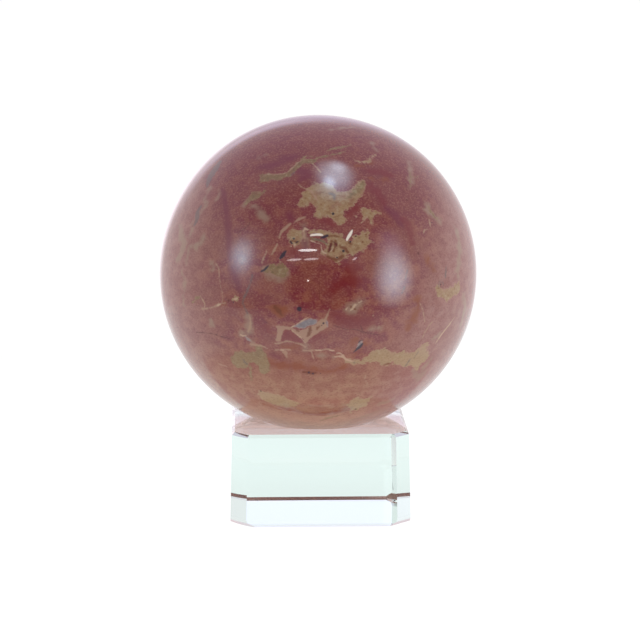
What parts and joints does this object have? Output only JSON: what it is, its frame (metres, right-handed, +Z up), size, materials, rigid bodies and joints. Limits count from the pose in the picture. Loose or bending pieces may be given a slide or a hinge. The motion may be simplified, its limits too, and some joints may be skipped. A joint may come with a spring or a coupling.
{
  "type": "polished stone sphere on a glass stand",
  "caption": "Polished red jasper sphere resting in the shallow hollow of a clear square glass block.",
  "frame": {"origin": "under the middle of the glass block, on the surface that the block stands on", "axes": "+Z up through the middle of the sphere; +X and +Y square to the sides of the block, with the face that the picture shows towards -Y"},
  "size_m": [0.071, 0.071, 0.0891],
  "materials": {
    "jasper": "polished",
    "clear_glass": "polished"
  },
  "bodies": {
    "root": {"stone_sphere": "jasper", "glass_stand": "clear_glass"}
  },
  "joints": []
}
